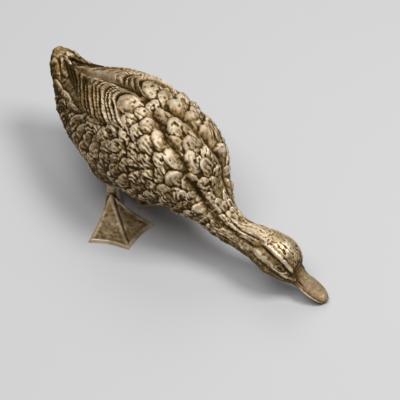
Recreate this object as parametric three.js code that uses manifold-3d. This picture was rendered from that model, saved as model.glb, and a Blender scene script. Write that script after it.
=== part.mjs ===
// Feeding duck, a small cast bronze: bill tip to the ground, tail up, right foot a step ahead.
// Millimetres. +X runs from tail to bill, +Y to the duck's left and +Z up. The soles rest on z = 0.
import * as THREE from 'three';
import { mergeVertices } from 'three/addons/utils/BufferGeometryUtils.js';
import Module from 'manifold-3d';

const wasm = await Module();
wasm.setup();

// Driving dimensions

const BODY_CENTRE_Z = 36.0; // at the broadest section
const BODY_HALF_WIDTH = 22.8;
const BACK_RISE = 22.0;
const BELLY_DROP = 23.8;
const TAIL_END_Z = 46.0;
const NECK_HALF_WIDTH = 6.5; // at the thinnest section
const HEAD_HALF_WIDTH = 8.5;
const CROWN_RISE = 10.4;
const BILL_HALF_WIDTH = 4.8;
const BILL_TURN = 13.1; // the bill's end to the duck's left of the body's middle

// Sections from tail to bill. x, y, z is the centre, half the half width,
// rise and drop the reach above and below the centre.
const STATIONS = [
  { name: 'tail_end', x: -75.6, y: 1.2, z: TAIL_END_Z, half: 2.4, rise: 1.2, drop: 1.0 },
  { name: 'tail_tip', x: -73.2, y: 1.0, z: 44.2, half: 5.0, rise: 2.4, drop: 2.0 },
  { name: 'tail', x: -64.0, y: 0.4, z: 38.5, half: 10.4, rise: 5.2, drop: 5.6 },
  { name: 'rump', x: -50.0, y: 0.0, z: 34.5, half: 17.0, rise: 13.4, drop: 16.4 },
  { name: 'hips', x: -32.0, y: 0.0, z: 34.0, half: 21.3, rise: 19.8, drop: 23.4 },
  {
    name: 'middle',
    x: -11.0, y: 0.0, z: BODY_CENTRE_Z,
    half: BODY_HALF_WIDTH, rise: BACK_RISE, drop: BELLY_DROP,
  },
  { name: 'shoulder', x: 7.0, y: 0.0, z: 35.5, half: 19.6, rise: 17.6, drop: 20.4 },
  { name: 'breast', x: 19.5, y: 0.0, z: 29.0, half: 13.0, rise: 10.8, drop: 13.6 },
  { name: 'neck_joint', x: 26.5, y: 0.2, z: 24.2, half: 9.0, rise: 8.4, drop: 9.6 },
  { name: 'neck_root', x: 32.5, y: 0.8, z: 20.9, half: 7.3, rise: 7.7, drop: 8.2 },
  { name: 'neck', x: 40.5, y: 2.0, z: 18.8, half: NECK_HALF_WIDTH, rise: 7.0, drop: 7.2 },
  { name: 'nape', x: 49.0, y: 4.0, z: 18.0, half: 7.4, rise: 8.4, drop: 8.2 },
  { name: 'crown', x: 58.0, y: 6.2, z: 15.4, half: HEAD_HALF_WIDTH, rise: CROWN_RISE, drop: 9.6 },
  { name: 'face', x: 64.0, y: 7.6, z: 11.2, half: 6.6, rise: 7.0, drop: 6.2 },
  { name: 'bill_root', x: 66.4, y: 8.2, z: 9.8, half: 5.0, rise: 4.4, drop: 3.8 },
  { name: 'bill', x: 73.0, y: 10.3, z: 5.8, half: BILL_HALF_WIDTH, rise: 2.5, drop: 2.0 },
  { name: 'bill_tip', x: 79.0, y: 12.4, z: 2.3, half: 3.7, rise: 1.4, drop: 1.1 },
  { name: 'bill_end', x: 81.0, y: BILL_TURN, z: 1.1, half: 1.8, rise: 0.7, drop: 0.6 },
];

const WALL = 3.0; // bronze around the core
const FIT_GAP = 0.3; // clearance between fitted pieces, all round

const SOCKET_WALL = 2.2; // rim of the neck socket
const SPIGOT_LENGTH = 9.0;
const NECK_PIN_RADIUS = 1.1;

const THIGH_FOOT_Z = 10.8; // flat underside of the thighs, where the shanks seat
const THIGH_FOOT_RADIUS = 4.4;
const THIGH_RADIUS = 7.4;
const THIGH_HEIGHT = 10.0;
const BOSS_RADIUS = 5.0; // pad inside the body, under the nut
const BOSS_HEIGHT = 13.7;
const TENON_RADIUS = 2.0;
const TENON_PROUD = 1.0; // stands out of the nut
const NUT_ACROSS_CORNERS = 8.4;
const NUT_HEIGHT = 3.2;

const SHANK_TOP_RADIUS = 3.3;
const SHANK_RADIUS = 2.2;
const ANKLE_RADIUS = 2.9;
const ANKLE_Z = 3.4;
const OUTER_TOE = 24.0;
const MIDDLE_TOE = 27.5;
const INNER_TOE = 22.5;
const TOE_SPREAD = 40.0; // degrees from the middle toe to either side
const TOE_ROOT_RADIUS = 2.3;
const TOE_TIP_RADIUS = 1.3;
const WEB_THICKNESS = 1.5;
const WEB_SAG = 1.2; // the web's front edge draws in between two toes
const RIM_RADIUS = 0.8; // bead along the web's front edge

// Where each foot's ankle and each thigh stand, and how far the middle toe turns out in degrees.
const LEGS = {
  right: { ankle: { x: -22.5, y: -16.0 }, thigh: { x: -27.5, y: -11.0 }, toeOut: 26, outward: -1 },
  left: { ankle: { x: -29.5, y: 5.6 }, thigh: { x: -30.0, y: 10.5 }, toeOut: -2, outward: 1 },
};

const WING_FRONT_X = -16.0; // where the folded wing comes out from under the shoulder feathers
const WING_TIP_X = -69.0;
const WING_EDGE = 0.6; // thickness along the wing's edge
const WING_CAMBER = 1.3; // further thickness in its middle
const WING_MIDDLE_FRONT = 60.0; // degrees above the duck's side
const WING_MIDDLE_REAR = 73.0;
const WING_HALF_CHORD = 27.0; // degrees, at its front
const WING_TAPER = 0.3; // share of the half chord lost towards the tip
const WING_TIP_ROUNDING = 0.55; // further share, lost close to the tip
const WING_LOWER_FRONT = -0.3; // the flank covers what lies lower at the front, in half chords
const WING_LOWER_FALL = 1.12; // how far that line has fallen at the tip, if it ran on so far
const WING_SLANT = 16.0; // how far back the quills' ends run from the wing's middle to its upper edge
const WING_CURL = 34.0; // how they round forward again towards that edge
const WING_CURL_FROM = 0.3; // in half chords above the middle
const QUILL_STEP = 0.8; // height of one quill's end over the next quill
const QUILL_COUNT = 12;
const QUILL_GROWTH = 1.03; // each quill shows this much more of itself than the one in front
const PEG_RADIUS = 1.4;
const PEG_PROUD = 0.8; // end of a peg past the inside of the body wall
const PEG_PLACES = [0.28, 0.6]; // shares of the wing's length

// Contour feathers: rows that climb towards the tail, each feather over the root of the one behind it
const FEATHER_LENGTH = 9.4;
const FEATHER_HALF_WIDTH = 9.5; // degrees round the trunk
const FEATHER_PITCH = 6.0; // along a row
const FEATHER_LIFT = 1.7; // height of a tip over the skin
const FEATHER_CROWN = 0.45; // share of its height that it loses towards its sides
const FEATHER_ROOT = 1.0; // how deep it sits in the skin
const FEATHER_CLIMB = 0.65; // degrees for each millimetre towards the tail

// A row's degrees above the duck's side where it crosses x = 0, its first feather's place and its count.
const FEATHER_ROWS = {
  shoulder: { steep: 66, front: 14, count: 6 },
  lower_shoulder: { steep: 52, front: 12, count: 5 },
  upper_flank: { steep: 38, front: 15, count: 6 },
  flank: { steep: 24, front: 12, count: 6 },
  lower_flank: { steep: 11, front: 15, count: 8 },
  thigh: { steep: -2, front: 10, count: 9 },
  lower_thigh: { steep: -16, front: 7, count: 8 },
};

const BELLY_PLUG_X = -6.0;
const BELLY_PLUG_RADIUS = 6.5;
const CORE_PIN_RADIUS = 1.7;

// Plugs in the holes that the core's pins left: place along the duck, degrees from its left over the back.
const CORE_PINS = {
  back: { x: -16, angle: 90 },
  rump: { x: -52, angle: 90 },
  left_flank: { x: 4, angle: -20 },
  right_flank: { x: 4, angle: 200 },
};

const EYE_RADIUS = 1.5;
const EYE_LID_RADIUS = 0.5;
const EYE_HEIGHT = 35.0; // degrees above the side of the head
const EYE_FORWARD = 0.35; // share of the way from the crown to the face

// Fineness of the facets
const TRUNK_RINGS = 24;
const TRUNK_SIDES = 26;
const CORE_RINGS = 10;
const CORE_SIDES = 14;
const NECK_RINGS = 27;
const NECK_SIDES = 18;
const WING_LANES = 8;
const ROD_SIDES = 8;
const ROD_STEPS = 5;
const ROUND = 12;

const UP = new THREE.Vector3(0, 0, 1);
const { degToRad, lerp } = THREE.MathUtils;

// Solids from geometry, and back

function solidOf(geometry) {
  const bare = new THREE.BufferGeometry().setAttribute('position', geometry.getAttribute('position'));
  const merged = mergeVertices(bare.setIndex(geometry.index), 1e-4);
  return new wasm.Manifold(
    new wasm.Mesh({
      numProp: 3,
      vertProperties: merged.attributes.position.array,
      triVerts: new Uint32Array(merged.index.array),
    }),
  );
}

function geometryOf(solid) {
  const mesh = solid.getMesh();
  return new THREE.BufferGeometry()
    .setAttribute('position', new THREE.BufferAttribute(new Float32Array(mesh.vertProperties), 3))
    .setIndex(new THREE.BufferAttribute(new Uint32Array(mesh.triVerts), 1));
}

function joined(solids) {
  return solids.reduce((sum, solid) => sum.add(solid));
}

// A ring of points, each placed by the cosine and sine of its angle.
function circle(sides, place) {
  return Array.from({ length: sides }, (_, k) => {
    const angle = (2 * Math.PI * k) / sides;
    return place(Math.cos(angle), Math.sin(angle));
  });
}

// A closed skin over rings of points. The rings follow each other the way a right-hand screw
// travels that turns from point to point. An end is closed by a fan round its centre or, where each
// ring is a bent band, whose second half runs back beneath its first, by quads across the band.
function loft(rings, band = false) {
  const count = rings[0].length;
  const points = rings.flat();
  const index = [];
  for (let r = 0; r + 1 < rings.length; r++) {
    for (let k = 0; k < count; k++) {
      const here = r * count + k;
      const next = r * count + ((k + 1) % count);
      index.push(here, next, next + count, here, next + count, here + count);
    }
  }
  const fan = (ring, at) => {
    const centre = ring.reduce((sum, point) => sum.add(point), new THREE.Vector3()).divideScalar(count);
    const hub = points.push(centre) - 1;
    return ring.map((_, k) => [hub, at(k), at((k + 1) % count)]);
  };
  const quads = (ring, at) =>
    ring.slice(0, count / 2 - 1).flatMap((_, k) => {
      const across = at(count - 2 - k);
      return [[at(k), at(k + 1), across], [at(k), across, at(count - 1 - k)]];
    });
  const endOf = (r) => (band ? quads : fan)(rings[r], (k) => r * count + k);
  endOf(0).forEach(([a, b, c]) => index.push(a, c, b));
  endOf(rings.length - 1).forEach(([a, b, c]) => index.push(a, b, c));
  return new THREE.BufferGeometry().setFromPoints(points).setIndex(index);
}

// A round rod along a curve, its radius given for each share of the way.
function rod(curve, radiusAt) {
  const rings = Array.from({ length: ROD_STEPS + 1 }, (_, i) => {
    const share = i / ROD_STEPS;
    const centre = curve.getPoint(share);
    const ahead = curve.getTangent(share);
    const level = Math.abs(ahead.z) > 0.9 ? new THREE.Vector3(1, 0, 0) : UP;
    const side = new THREE.Vector3().crossVectors(level, ahead).normalize();
    const up = new THREE.Vector3().crossVectors(ahead, side);
    const radius = radiusAt(share);
    return circle(ROD_SIDES, (cos, sin) =>
      centre.clone().addScaledVector(side, radius * cos).addScaledVector(up, radius * sin),
    );
  });
  return loft(rings);
}

// An upright cylinder from z = bottom to z = top.
function upright(radius, bottom, top, { x, y }) {
  const geometry = new THREE.CylinderGeometry(radius, radius, top - bottom, ROUND);
  return solidOf(geometry.rotateX(Math.PI / 2).translate(x, y, (bottom + top) / 2));
}

// A cylinder between two points.
function between(radius, from, to) {
  const way = to.clone().sub(from);
  const geometry = new THREE.CylinderGeometry(radius, radius, way.length(), ROUND);
  const turn = new THREE.Quaternion().setFromUnitVectors(new THREE.Vector3(0, 1, 0), way.normalize());
  const centre = from.clone().add(to).multiplyScalar(0.5);
  return solidOf(geometry.applyQuaternion(turn).translate(centre.x, centre.y, centre.z));
}

// The duck's skin, lofted over the stations

function curveThrough(points) {
  return new THREE.CatmullRomCurve3(points, false, 'catmullrom');
}

const spine = curveThrough(STATIONS.map(({ x, y, z }) => new THREE.Vector3(x, y, z)));
const girth = curveThrough(STATIONS.map(({ half, rise, drop }) => new THREE.Vector3(half, rise, drop)));

// Share of the spine's way at a station, and at a place along the duck.
function shareAt(name) {
  return STATIONS.findIndex((station) => station.name === name) / (STATIONS.length - 1);
}

function shareAtX(x) {
  let low = 0;
  let high = 1;
  for (let i = 0; i < 40; i++) {
    const half = (low + high) / 2;
    if (spine.getPoint(half).x < x) low = half;
    else high = half;
  }
  return low;
}

function sectionAt(share) {
  const centre = spine.getPoint(share);
  const ahead = spine.getTangent(share);
  const side = new THREE.Vector3().crossVectors(UP, ahead).normalize();
  const up = new THREE.Vector3().crossVectors(ahead, side);
  const size = girth.getPoint(share);
  return { centre, ahead, side, up, half: size.x, rise: size.y, drop: size.z };
}

// A point of a section, moved out by an offset. Its angle runs from the duck's left over the back.
function onSection(section, cos, sin, offset) {
  const tall = (sin > 0 ? section.rise : section.drop) + offset;
  return section.centre.clone()
    .addScaledVector(section.side, (section.half + offset) * cos)
    .addScaledVector(section.up, tall * sin);
}

function onSkin(x, angle, offset) {
  return onSection(sectionAt(shareAtX(x)), Math.cos(degToRad(angle)), Math.sin(degToRad(angle)), offset);
}

// Degrees from the duck's left over its back, from degrees above one of its sides.
function onSide(outward, steep) {
  return outward > 0 ? steep : 180 - steep;
}

function skinRings(from, to, rings, sides, offset) {
  return Array.from({ length: rings + 1 }, (_, i) => {
    const section = sectionAt(lerp(shareAt(from), shareAt(to), i / rings));
    return circle(sides, (cos, sin) => onSection(section, cos, sin, offset));
  });
}

const outer = solidOf(loft(skinRings('tail_end', 'neck_joint', TRUNK_RINGS, TRUNK_SIDES, 0)));
const core = solidOf(loft(skinRings('tail', 'breast', CORE_RINGS, CORE_SIDES, -WALL)));

// Neck joint: a plain socket in the breast, a spigot on the neck and a pin through both

const joint = sectionAt(shareAt('neck_joint'));

function jointPlug(inset, from, to) {
  const rings = [from, to].map((ahead) =>
    circle(NECK_SIDES, (cos, sin) => onSection(joint, cos, sin, -inset).addScaledVector(joint.ahead, ahead)),
  );
  return solidOf(loft(rings));
}

const neckSocket = jointPlug(SOCKET_WALL, -SPIGOT_LENGTH - FIT_GAP, FIT_GAP);
const spigot = jointPlug(SOCKET_WALL + FIT_GAP, -SPIGOT_LENGTH, 2 * FIT_GAP);

function neckPin(radius) {
  const middle = joint.centre.clone().addScaledVector(joint.ahead, -SPIGOT_LENGTH / 2);
  const reach = 2 * joint.half;
  const ends = [-reach, reach].map((out) => middle.clone().addScaledVector(joint.side, out));
  return between(radius, ...ends);
}

// Legs: a thigh and a pad in the body's casting, a shank with a webbed foot, a tenon and its nut

const seat = THIGH_FOOT_Z - FIT_GAP;
const bossTop = THIGH_FOOT_Z + BOSS_HEIGHT;
const nutSeat = bossTop + FIT_GAP;
const tenonTop = nutSeat + NUT_HEIGHT + TENON_PROUD;

function thigh({ thigh: { x, y } }) {
  const profile = [
    new THREE.Vector2(0, 0),
    new THREE.Vector2(THIGH_FOOT_RADIUS, 0),
    new THREE.Vector2(THIGH_RADIUS, THIGH_HEIGHT / 2),
    new THREE.Vector2(THIGH_RADIUS, THIGH_HEIGHT),
    new THREE.Vector2(0, THIGH_HEIGHT),
  ];
  const geometry = new THREE.LatheGeometry(profile, ROUND).rotateX(Math.PI / 2);
  return solidOf(geometry.translate(x, y, THIGH_FOOT_Z));
}

function boss({ thigh: place }) {
  return upright(BOSS_RADIUS, THIGH_FOOT_Z, bossTop, place);
}

// Room for the shank's top, the tenon and the nut.
function legCuts({ thigh: place }) {
  return [
    upright(THIGH_FOOT_RADIUS, ANKLE_Z, THIGH_FOOT_Z, place),
    upright(TENON_RADIUS + FIT_GAP, ANKLE_Z, tenonTop, place),
    upright(NUT_ACROSS_CORNERS / 2 + FIT_GAP, bossTop, tenonTop + FIT_GAP, place),
  ];
}

function legNut({ thigh: { x, y } }) {
  const corner = NUT_ACROSS_CORNERS / 2;
  const hexagon = new THREE.Shape(circle(6, (cos, sin) => new THREE.Vector2(corner * cos, corner * sin)));
  hexagon.holes.push(new THREE.Path().absarc(0, 0, TENON_RADIUS + FIT_GAP, 0, 2 * Math.PI, true));
  const options = { depth: NUT_HEIGHT, bevelEnabled: false, curveSegments: ROUND / 2 };
  return solidOf(new THREE.ExtrudeGeometry(hexagon, options).translate(x, y, nutSeat));
}

// A webbed foot in its own frame: the ankle over the origin, the middle toe along +X. A foot whose
// outward is 1 has its outer toe to +Y, one whose outward is -1 to -Y.
function webbedFoot(outward) {
  const toeTip = (length, angle) => {
    const turned = degToRad(angle * outward);
    return new THREE.Vector3(length * Math.cos(turned), length * Math.sin(turned), 0);
  };
  const outerTip = toeTip(OUTER_TOE, TOE_SPREAD);
  const middleTip = toeTip(MIDDLE_TOE, 0);
  const innerTip = toeTip(INNER_TOE, -TOE_SPREAD);

  const webEdge = (tip) => {
    const half = tip.clone().add(middleTip).multiplyScalar(0.5);
    return new THREE.QuadraticBezierCurve3(tip, half.setLength(half.length() - WEB_SAG), middleTip);
  };
  const edges = [webEdge(outerTip), webEdge(innerTip)];
  const heel = new THREE.Vector3(-TOE_ROOT_RADIUS, 0, 0);
  const [outerEdge, innerEdge] = edges.map((edge) => edge.getPoints(ROD_STEPS));
  const outline = new THREE.Shape([heel, ...outerEdge, ...innerEdge.reverse().slice(1)]);
  const plate = new THREE.ExtrudeGeometry(outline, { depth: WEB_THICKNESS, bevelEnabled: false });

  const ankle = new THREE.Vector3(0, 0, ANKLE_Z);
  const toes = [outerTip, middleTip, innerTip].map((tip) => {
    const knuckle = tip.clone().multiplyScalar(0.5).setZ(TOE_ROOT_RADIUS);
    const bent = new THREE.QuadraticBezierCurve3(ankle, knuckle, tip.clone().setZ(TOE_TIP_RADIUS));
    return rod(bent, (share) => lerp(TOE_ROOT_RADIUS, TOE_TIP_RADIUS, share));
  });
  const rims = edges.map((edge) => {
    const lifted = [edge.v0, edge.v1, edge.v2].map((point) => point.clone().setZ(WEB_THICKNESS));
    return rod(new THREE.QuadraticBezierCurve3(...lifted), () => RIM_RADIUS);
  });
  return [plate, ...toes, ...rims];
}

function leg({ ankle, thigh: root, toeOut, outward }) {
  const turned = outward * degToRad(toeOut);
  const foot = webbedFoot(outward).map((geometry) =>
    geometry.rotateZ(turned).translate(ankle.x, ankle.y, 0),
  );
  const shankLine = new THREE.LineCurve3(
    new THREE.Vector3(ankle.x, ankle.y, 0),
    new THREE.Vector3(root.x, root.y, seat + SHANK_TOP_RADIUS),
  );
  const shank = rod(shankLine, (share) => {
    const end = share < 0.5 ? ANKLE_RADIUS : SHANK_TOP_RADIUS;
    return lerp(SHANK_RADIUS, end, (2 * share - 1) ** 2);
  });
  const reach = 4 * MIDDLE_TOE;
  const slab = new THREE.BoxGeometry(reach, reach, seat).translate(ankle.x, ankle.y, seat / 2);
  const standing = joined([...foot, shank].map(solidOf)).intersect(solidOf(slab));
  return standing.add(upright(TENON_RADIUS, seat - TENON_RADIUS, tenonTop, root));
}

// Folded wings, lying on the skin with a gap

// Half chord as a share of that at the front: a slow taper and a round tip.
function wingBreadth(along) {
  return 1 - WING_TAPER * along ** 2 - WING_TIP_ROUNDING * along ** 8;
}

// A point of a wing: along runs from its front to its tip, lane from 0 at its lower edge to 1 at its upper.
function wingPoint(outward, along, lane, offset) {
  const breadth = wingBreadth(along);
  const across = lerp(Math.max(WING_LOWER_FRONT - WING_LOWER_FALL * along, -1), 1, lane);
  const curl = WING_CURL * (1 - along) * Math.max(across - WING_CURL_FROM, 0) ** 2;
  const x = lerp(WING_FRONT_X, WING_TIP_X, along) - (WING_SLANT * across - curl) * breadth;
  const middle = lerp(WING_MIDDLE_FRONT, WING_MIDDLE_REAR, along ** 2);
  return onSkin(x, onSide(outward, middle + across * WING_HALF_CHORD * breadth), offset);
}

// Two rings to a quill: low where it comes out from under the one in front, high at its own end.
function quillRings() {
  const fall = 0.12; // share of a quill taken by the step down from the one in front
  const flat = 0.012; // the tip ends in a small flat
  const shown = Array.from({ length: QUILL_COUNT }, (_, n) => QUILL_GROWTH ** n);
  const total = shown.reduce((sum, length) => sum + length);
  let begin = 0;
  return shown.flatMap((length) => {
    const share = length / total;
    const low = { along: (1 - flat) * (begin + share * fall), step: 0 };
    begin += share;
    return [low, { along: (1 - flat) * begin, step: QUILL_STEP }];
  });
}

function wing(outward) {
  const lanes = Array.from({ length: WING_LANES + 1 }, (_, k) => k / WING_LANES);
  const rings = quillRings().map(({ along, step }) => {
    const upper = lanes.map((lane) => {
      const dome = Math.sqrt(1 - (2 * lane - 1) ** 2);
      return wingPoint(outward, along, lane, FIT_GAP + WING_EDGE + dome * (WING_CAMBER + step));
    });
    return [...upper, ...lanes.toReversed().map((lane) => wingPoint(outward, along, lane, FIT_GAP))];
  });
  if (outward > 0) rings.reverse();
  return joined([solidOf(loft(rings, true)), ...wingPegs(outward, PEG_RADIUS)]);
}

// Room that the body's feathers leave for a wing: its outline grown by the gap, from the skin up.
function wingRoom(outward) {
  const margin = FIT_GAP / BODY_HALF_WIDTH;
  const lanes = Array.from({ length: WING_LANES + 1 }, (_, k) => lerp(-margin, 1 + margin, k / WING_LANES));
  const rings = Array.from({ length: QUILL_COUNT + 1 }, (_, n) => {
    const along = lerp(-margin, 1, n / QUILL_COUNT);
    const upper = lanes.map((lane) => wingPoint(outward, along, lane, 2 * WALL));
    return [...upper, ...lanes.toReversed().map((lane) => wingPoint(outward, along, lane, FIT_GAP / 3))];
  });
  if (outward > 0) rings.reverse();
  return solidOf(loft(rings, true));
}

function wingPegs(outward, radius) {
  return PEG_PLACES.map((along) => {
    const root = wingPoint(outward, along, 0.5, FIT_GAP + WING_EDGE);
    const end = wingPoint(outward, along, 0.5, -WALL - PEG_PROUD);
    return between(radius, root, end);
  });
}

// Contour feathers on the trunk

// A feather: a scale that rises from its root to its round tip, where it ends in a step.
function feather(outward, x, steep) {
  const profile = [
    { along: -0.5, breadth: 0.8, height: 0.1 },
    { along: 0.15, breadth: 1.0, height: 0.85 },
    { along: 0.5, breadth: 0.5, height: 1.0 },
  ];
  const lanes = [-1, 0, 1];
  const rings = profile.map(({ along, breadth, height }) => {
    const back = along * FEATHER_LENGTH;
    const place = (across, offset) => {
      const angle = steep + FEATHER_CLIMB * back + across * breadth * FEATHER_HALF_WIDTH;
      return onSkin(x - back, onSide(outward, angle), offset);
    };
    const upper = lanes.map((across) =>
      place(across, FEATHER_LIFT * height * (1 - FEATHER_CROWN * across ** 2)),
    );
    return [...upper, place(1, -FEATHER_ROOT), place(-1, -FEATHER_ROOT)];
  });
  if (outward > 0) rings.reverse();
  return solidOf(loft(rings));
}

// All the rows of one side.
function plumage(outward) {
  return Object.values(FEATHER_ROWS).flatMap(({ steep, front, count }) =>
    Array.from({ length: count }, (_, n) => {
      const x = front - n * FEATHER_PITCH;
      return feather(outward, x, steep - FEATHER_CLIMB * x);
    }),
  );
}

// Trunk: a shell round the core, with feathers, pads for the legs and holes for all that is fitted to it

const legs = Object.values(LEGS);
const sides = [1, -1];
const feathered = joined([...sides.flatMap(plumage), outer]).subtract(joined(sides.map(wingRoom)));
const hollow = core.subtract(joined(legs.map(boss)));
const shell = joined([feathered, ...legs.map(thigh)]).subtract(hollow);

function bellyHole(radius) {
  return upright(radius, 0, joint.centre.z, { x: BELLY_PLUG_X, y: 0 });
}

function corePinHole({ x, angle }, radius) {
  return between(radius, onSkin(x, angle, -2 * WALL), onSkin(x, angle, WALL));
}

function bodyCasting() {
  const cuts = [
    neckSocket,
    neckPin(NECK_PIN_RADIUS + FIT_GAP),
    bellyHole(BELLY_PLUG_RADIUS),
    ...legs.flatMap(legCuts),
    ...Object.values(CORE_PINS).map((pin) => corePinHole(pin, CORE_PIN_RADIUS)),
    ...sides.flatMap((outward) => wingPegs(outward, PEG_RADIUS + FIT_GAP)),
  ];
  return shell.subtract(joined(cuts));
}

// Neck, head and bill in one casting

function eyes() {
  const section = sectionAt(lerp(shareAt('crown'), shareAt('face'), EYE_FORWARD));
  return [EYE_HEIGHT, 180 - EYE_HEIGHT].flatMap((angle) => {
    const cos = Math.cos(degToRad(angle));
    const sin = Math.sin(degToRad(angle));
    const centre = onSection(section, cos, sin, -EYE_RADIUS / 2);
    const rim = onSection(section, cos, sin, 0);
    const turn = new THREE.Quaternion().setFromUnitVectors(UP, rim.clone().sub(centre).normalize());
    const ball = new THREE.SphereGeometry(EYE_RADIUS, ROUND, ROUND / 2);
    const lid = new THREE.TorusGeometry(EYE_RADIUS, EYE_LID_RADIUS, ROD_SIDES, ROUND).applyQuaternion(turn);
    return [ball.translate(...centre.toArray()), lid.translate(...rim.toArray())].map(solidOf);
  });
}

function neckAndHead() {
  const rings = skinRings('neck_joint', 'bill_end', NECK_RINGS, NECK_SIDES, 0);
  rings[0].forEach((point) => point.addScaledVector(joint.ahead, FIT_GAP));
  return joined([solidOf(loft(rings)), spigot, ...eyes()]).subtract(neckPin(NECK_PIN_RADIUS + FIT_GAP));
}

// Finishes: chased bronze outside, raw bronze for the fittings

const chased = { color: 0xa98d62, roughness: 0.42, metalness: 1.0 };
const raw = { color: 0x8a6a3c, roughness: 0.6, metalness: 1.0 };

const duck = new THREE.Group();

function addPiece(name, solid, finish) {
  const mesh = new THREE.Mesh(geometryOf(solid), new THREE.MeshStandardMaterial(finish));
  mesh.name = name;
  duck.add(mesh);
}

addPiece('body_casting', bodyCasting(), chased);
addPiece('neck_and_head_casting', neckAndHead(), chased);
addPiece('neck_cross_pin', neckPin(NECK_PIN_RADIUS).intersect(feathered), raw);
addPiece('left_wing', wing(1), chased);
addPiece('right_wing', wing(-1), chased);
for (const [side, place] of Object.entries(LEGS)) {
  addPiece(`${side}_leg`, leg(place), chased);
  addPiece(`${side}_leg_nut`, legNut(place), raw);
}
addPiece('belly_plug', shell.intersect(bellyHole(BELLY_PLUG_RADIUS - FIT_GAP)), raw);
for (const [place, pin] of Object.entries(CORE_PINS)) {
  addPiece(`core_pin_plug_${place}`, shell.intersect(corePinHole(pin, CORE_PIN_RADIUS - FIT_GAP)), raw);
}

// The origin is the middle of the base.
const box = new THREE.Box3().setFromObject(duck);
const middle = box.getCenter(new THREE.Vector3());
duck.position.set(-middle.x, -middle.y, -box.min.z);

const part = new THREE.Group();
part.add(duck);

export default part;
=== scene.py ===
"""Looks of the feeding duck: chased bronze plumage, folded wings, head, bill and webbed feet."""
import logging
import math
import random
from dataclasses import dataclass, field
from enum import Enum, IntEnum

import bmesh
import bpy
import numpy as np
from mathutils import Matrix, Vector


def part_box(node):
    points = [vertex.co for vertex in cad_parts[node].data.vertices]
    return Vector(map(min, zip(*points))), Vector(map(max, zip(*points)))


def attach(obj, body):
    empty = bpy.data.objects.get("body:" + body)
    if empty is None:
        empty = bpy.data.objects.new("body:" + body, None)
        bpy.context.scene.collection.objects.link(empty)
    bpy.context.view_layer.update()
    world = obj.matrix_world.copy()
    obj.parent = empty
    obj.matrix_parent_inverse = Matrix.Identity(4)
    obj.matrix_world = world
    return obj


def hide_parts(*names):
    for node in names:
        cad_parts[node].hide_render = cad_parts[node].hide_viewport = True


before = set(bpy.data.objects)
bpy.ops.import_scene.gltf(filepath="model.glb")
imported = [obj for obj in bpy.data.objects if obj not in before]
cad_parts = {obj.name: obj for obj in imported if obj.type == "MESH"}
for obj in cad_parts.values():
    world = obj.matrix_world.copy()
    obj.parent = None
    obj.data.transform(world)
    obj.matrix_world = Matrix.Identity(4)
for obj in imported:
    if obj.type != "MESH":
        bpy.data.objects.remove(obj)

LOG = logging.getLogger("duck")
MM = 0.001
RIGHT_THIGH = (-27.5, -11.0)
LEFT_THIGH = (-30.0, 10.5)
Array = np.ndarray
Mesh = bmesh.types.BMesh
Material = bpy.types.Material
Socket = bpy.types.NodeSocket
Span = tuple[float, float]
Line = tuple[Span, ...]
Colour = tuple[float, float, float, float]


class Side(Enum):
    """The duck's two sides, by the sign of their sideways axis."""

    LEFT = 1
    RIGHT = -1

    def turned(self, steep: Array | float) -> Array | float:
        """Degrees from the duck's left over its back, from degrees above this side."""
        return steep if self is Side.LEFT else 180.0 - steep


class Seed(IntEnum):
    """Numbers of the random patterns."""

    GROUND = 3
    FINE_GROUND = 5
    VALLEY_SWAY = 7
    LONG_STREAKS = 21
    SHORT_STREAKS = 22
    CROWN_PITS = 23
    QUILL_GRAIN = 31
    QUILL_EDGE = 33
    WING_LUMPS = 35
    WEB = 41
    FINE_WEB = 42
    PITS = 51
    FINE_PITS = 52
    BARB_SWAY = 53
    BROAD_PITS = 54
    HOLES = 55


@dataclass(frozen=True)
class Station:
    """One section of the bare duck in millimetres: its centre and its reach to the side, up and down."""

    x: float
    y: float
    z: float
    half: float
    rise: float
    drop: float


STATIONS = {
    "tail_end": Station(-75.6, 1.2, 46.0, 2.4, 1.2, 1.0),
    "tail_tip": Station(-73.2, 1.0, 44.2, 5.0, 2.4, 2.0),
    "tail": Station(-64.0, 0.4, 38.5, 10.4, 5.2, 5.6),
    "rump": Station(-50.0, 0.0, 34.5, 17.0, 13.4, 16.4),
    "hips": Station(-32.0, 0.0, 34.0, 21.3, 19.8, 23.4),
    "middle": Station(-11.0, 0.0, 36.0, 22.8, 22.0, 23.8),
    "shoulder": Station(7.0, 0.0, 35.5, 19.6, 17.6, 20.4),
    "breast": Station(19.5, 0.0, 29.0, 13.0, 10.8, 13.6),
    "neck_joint": Station(26.5, 0.2, 24.2, 9.0, 8.4, 9.6),
    "neck_root": Station(32.5, 0.8, 20.9, 7.3, 7.7, 8.2),
    "neck": Station(40.5, 2.0, 18.8, 6.5, 7.0, 7.2),
    "nape": Station(49.0, 4.0, 18.0, 7.4, 8.4, 8.2),
    "crown": Station(58.0, 6.2, 15.4, 8.5, 10.4, 9.6),
    "face": Station(64.0, 7.6, 11.2, 6.6, 7.0, 6.2),
    "bill_root": Station(66.4, 8.2, 9.8, 5.0, 4.4, 3.8),
    "bill": Station(73.0, 10.3, 5.8, 4.8, 2.5, 2.0),
    "bill_tip": Station(79.0, 12.4, 2.3, 3.7, 1.4, 1.1),
    "bill_end": Station(81.0, 13.1, 1.1, 1.8, 0.7, 0.6),
}


def ease(low: float, high: float, value: Array) -> Array:
    """Ease values from 0 at low to 1 at high, which may be the smaller one."""
    share = np.clip((value - low) / (high - low), 0.0, 1.0)
    return share * share * (3.0 - 2.0 * share)


def bell(distance: Array, width: float) -> Array:
    """Bell of height 1 that has fallen to about a third at one width from its middle."""
    return np.exp(-((distance / width) ** 2))


def line_at(line: Line, x: Array) -> Array:
    """Values at x of a line drawn through points."""
    return np.interp(x, *zip(*line))


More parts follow.
